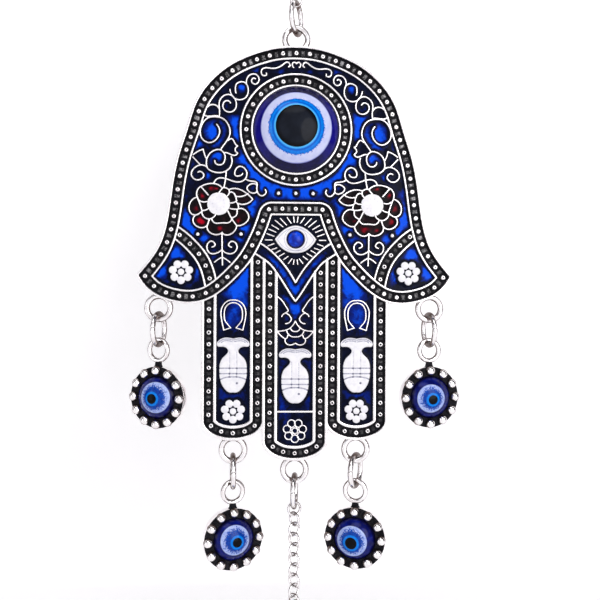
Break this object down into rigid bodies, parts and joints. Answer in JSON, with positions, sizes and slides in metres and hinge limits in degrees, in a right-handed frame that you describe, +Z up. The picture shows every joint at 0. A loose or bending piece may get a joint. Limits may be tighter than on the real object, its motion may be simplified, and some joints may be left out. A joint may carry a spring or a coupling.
{
  "type": "hamsa hand ornament",
  "caption": "Hanging hamsa hand with enamelled palm and fingers, glass eye, and eye charms on rings and a short chain below.",
  "frame": {"origin": "centre of the hanging ring at the top, which a nail or hook goes through", "axes": "+Z up, front faces -Y, +X to the right seen from the front"},
  "size_m": [0.0798, 0.0106, 0.183],
  "materials": {
    "silver_metal": "polished silver plate, blackened in the recesses",
    "blue_enamel": "glossy translucent cobalt enamel",
    "red_enamel": "glossy dark red enamel",
    "white_enamel": "glossy white enamel",
    "blue_stone": "polished",
    "blue_glass": "polished",
    "pale_inlay": "opaque glass",
    "light_blue_inlay": "opaque glass",
    "black_inlay": "opaque glass"
  },
  "bodies": {
    "hanging_ring": {"hanging_ring": "silver_metal"},
    "top_link_1": {"top_link_1": "silver_metal"},
    "top_link_2": {"top_link_2": "silver_metal"},
    "top_jump_ring": {"top_jump_ring": "silver_metal"},
    "hand": {"hand_plate": "silver_metal", "palm_walls": "silver_metal", "finger_walls": "silver_metal", "fine_lines": "silver_metal", "beads": "silver_metal", "palm_enamel": "blue_enamel", "corner_enamels": "blue_enamel", "eye_panel_enamel": "blue_enamel", "chevron_enamel": "blue_enamel", "finger_enamel_left": "blue_enamel", "finger_enamel_middle": "blue_enamel", "finger_enamel_right": "blue_enamel", "petal_enamels": "red_enamel", "flower_centres": "white_enamel", "daisies": "white_enamel", "fish_left": "white_enamel", "fish_middle": "white_enamel", "fish_right": "white_enamel", "eye_white": "white_enamel", "eye_stone": "blue_stone", "palm_eye_glass": "blue_glass", "palm_eye_white": "pale_inlay", "palm_eye_iris": "light_blue_inlay", "palm_eye_pupil": "black_inlay"},
    "jump_ring_left": {"jump_ring_left": "silver_metal"},
    "jump_ring_right": {"jump_ring_right": "silver_metal"},
    "jump_ring_finger_left": {"jump_ring_finger_left": "silver_metal"},
    "jump_ring_finger_right": {"jump_ring_finger_right": "silver_metal"},
    "jump_ring_bottom": {"jump_ring_bottom": "silver_metal"},
    "end_link_1": {"end_link_1": "silver_metal"},
    "end_link_2": {"end_link_2": "silver_metal"},
    "end_link_3": {"end_link_3": "silver_metal"},
    "end_link_4": {"end_link_4": "silver_metal"},
    "end_link_5": {"end_link_5": "silver_metal"},
    "end_link_6": {"end_link_6": "silver_metal"},
    "end_link_7": {"end_link_7": "silver_metal"},
    "end_link_8": {"end_link_8": "silver_metal"},
    "end_link_9": {"end_link_9": "silver_metal"},
    "end_link_10": {"end_link_10": "silver_metal"},
    "jump_ring_end": {"jump_ring_end": "silver_metal"},
    "charm_left": {"charm_left_bezel": "silver_metal", "charm_left_glass": "blue_glass", "charm_left_eye": "pale_inlay"},
    "charm_right": {"charm_right_bezel": "silver_metal", "charm_right_glass": "blue_glass", "charm_right_eye": "pale_inlay"},
    "charm_finger_left": {"charm_finger_left_bezel": "silver_metal", "charm_finger_left_glass": "blue_glass", "charm_finger_left_eye": "pale_inlay"},
    "charm_finger_right": {"charm_finger_right_bezel": "silver_metal", "charm_finger_right_glass": "blue_glass", "charm_finger_right_eye": "pale_inlay"},
    "charm_end": {"charm_end_bezel": "silver_metal", "charm_end_glass": "blue_glass", "charm_end_eye": "pale_inlay"}
  },
  "joints": [
    {"name": "top_link_1_swing", "type": "hinge", "parent": "hanging_ring", "child": "top_link_1", "pos_m": [0, 0, -0.00373], "axis": [1, 0, 0], "range_deg": [-30, 30]},
    {"name": "top_link_2_swing", "type": "hinge", "parent": "top_link_1", "child": "top_link_2", "pos_m": [0, 0, -0.00583], "axis": [0.4695, 0.8829, 0], "range_deg": [-30, 30]},
    {"name": "top_jump_ring_swing", "type": "hinge", "parent": "top_link_2", "child": "top_jump_ring", "pos_m": [0, 0, -0.00827], "axis": [0.8829, -0.4695, 0], "range_deg": [-30, 30]},
    {"name": "hand_swing", "type": "hinge", "parent": "top_jump_ring", "child": "hand", "pos_m": [0, 0, -0.01477], "axis": [0.342, 0.9397, 0], "range_deg": [-30, 30]},
    {"name": "jump_ring_left_swing", "type": "hinge", "parent": "hand", "child": "jump_ring_left", "pos_m": [-0.03247, 0, -0.08338], "axis": [1, 0, 0], "range_deg": [-30, 30]},
    {"name": "charm_left_swing", "type": "hinge", "parent": "jump_ring_left", "child": "charm_left", "pos_m": [-0.03247, 0, -0.08945], "axis": [0.225, 0.9744, 0], "range_deg": [-8, 30]},
    {"name": "jump_ring_right_swing", "type": "hinge", "parent": "hand", "child": "jump_ring_right", "pos_m": [0.03247, 0, -0.08338], "axis": [1, 0, 0], "range_deg": [-30, 30]},
    {"name": "charm_right_swing", "type": "hinge", "parent": "jump_ring_right", "child": "charm_right", "pos_m": [0.03247, 0, -0.08945], "axis": [-0.1478, 0.989, 0], "range_deg": [-30, 8]},
    {"name": "jump_ring_finger_left_swing", "type": "hinge", "parent": "hand", "child": "jump_ring_finger_left", "pos_m": [-0.0147, 0, -0.11721], "axis": [1, 0, 0], "range_deg": [-30, 30]},
    {"name": "charm_finger_left_swing", "type": "hinge", "parent": "jump_ring_finger_left", "child": "charm_finger_left", "pos_m": [-0.0147, 0, -0.12328], "axis": [-0.0872, 0.9962, 0], "range_deg": [-15, 15]},
    {"name": "jump_ring_finger_right_swing", "type": "hinge", "parent": "hand", "child": "jump_ring_finger_right", "pos_m": [0.0147, 0, -0.11721], "axis": [1, 0, 0], "range_deg": [-30, 30]},
    {"name": "charm_finger_right_swing", "type": "hinge", "parent": "jump_ring_finger_right", "child": "charm_finger_right", "pos_m": [0.0147, 0, -0.12328], "axis": [0.4384, 0.8988, 0], "range_deg": [-15, 15]},
    {"name": "jump_ring_bottom_swing", "type": "hinge", "parent": "hand", "child": "jump_ring_bottom", "pos_m": [0, 0, -0.12205], "axis": [1, 0, 0], "range_deg": [-30, 30]},
    {"name": "end_link_1_swing", "type": "hinge", "parent": "jump_ring_bottom", "child": "end_link_1", "pos_m": [0, 0, -0.12812], "axis": [0.1219, 0.9925, 0], "range_deg": [-15, 15]},
    {"name": "end_link_2_swing", "type": "hinge", "parent": "end_link_1", "child": "end_link_2", "pos_m": [0, 0, -0.13023], "axis": [0.9397, 0.342, 0], "range_deg": [-15, 15]},
    {"name": "end_link_3_swing", "type": "hinge", "parent": "end_link_2", "child": "end_link_3", "pos_m": [0, 0, -0.13267], "axis": [0.6428, -0.766, 0], "range_deg": [-15, 15]},
    {"name": "end_link_4_swing", "type": "hinge", "parent": "end_link_3", "child": "end_link_4", "pos_m": [0, 0, -0.13512], "axis": [0.766, 0.6428, 0], "range_deg": [-15, 15]},
    {"name": "end_link_5_swing", "type": "hinge", "parent": "end_link_4", "child": "end_link_5", "pos_m": [0, 0, -0.13758], "axis": [0.7071, -0.7071, 0], "range_deg": [-15, 15]},
    {"name": "end_link_6_swing", "type": "hinge", "parent": "end_link_5", "child": "end_link_6", "pos_m": [0, 0, -0.14003], "axis": [0.7071, 0.7071, 0], "range_deg": [-15, 15]},
    {"name": "end_link_7_swing", "type": "hinge", "parent": "end_link_6", "child": "end_link_7", "pos_m": [0, 0, -0.14247], "axis": [0.7071, -0.7071, 0], "range_deg": [-15, 15]},
    {"name": "end_link_8_swing", "type": "hinge", "parent": "end_link_7", "child": "end_link_8", "pos_m": [0, 0, -0.14492], "axis": [0.7071, 0.7071, 0], "range_deg": [-15, 15]},
    {"name": "end_link_9_swing", "type": "hinge", "parent": "end_link_8", "child": "end_link_9", "pos_m": [0, 0, -0.14738], "axis": [0.7071, -0.7071, 0], "range_deg": [-15, 15]},
    {"name": "end_link_10_swing", "type": "hinge", "parent": "end_link_9", "child": "end_link_10", "pos_m": [0, 0, -0.14983], "axis": [0.7071, 0.7071, 0], "range_deg": [-15, 15]},
    {"name": "jump_ring_end_swing", "type": "hinge", "parent": "end_link_10", "child": "jump_ring_end", "pos_m": [0, 0, -0.15227], "axis": [0.7071, -0.7071, 0], "range_deg": [-15, 15]},
    {"name": "charm_end_swing", "type": "hinge", "parent": "jump_ring_end", "child": "charm_end", "pos_m": [0, 0, -0.15877], "axis": [0.3746, 0.9272, 0], "range_deg": [-30, 30]}
  ]
}
